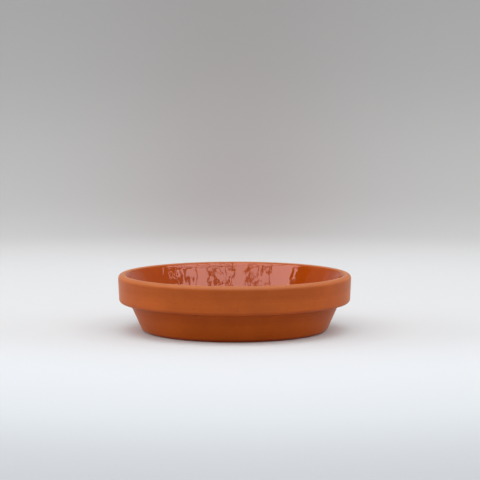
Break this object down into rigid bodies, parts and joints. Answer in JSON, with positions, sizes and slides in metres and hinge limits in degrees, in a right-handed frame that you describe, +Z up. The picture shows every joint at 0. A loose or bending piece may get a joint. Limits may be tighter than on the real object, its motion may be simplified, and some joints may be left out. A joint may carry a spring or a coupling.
{
  "type": "plant saucer",
  "caption": "Round terracotta plant saucer with a deep upright rim band, a sloping lower wall, a bare matt outside and a glossy clear-glazed inside.",
  "frame": {"origin": "centre of the circle that the saucer stands on, at the level of the surface under it", "axes": "+Z up along the axis of the saucer; it is round, so X and Y are alike, and the picture looks along +Y"},
  "size_m": [0.13, 0.13, 0.0317],
  "materials": {
    "bare_terracotta": "matte",
    "clear_glaze": "gloss"
  },
  "bodies": {
    "root": {"clay_body": "bare_terracotta", "inner_glaze": "clear_glaze"}
  },
  "joints": []
}
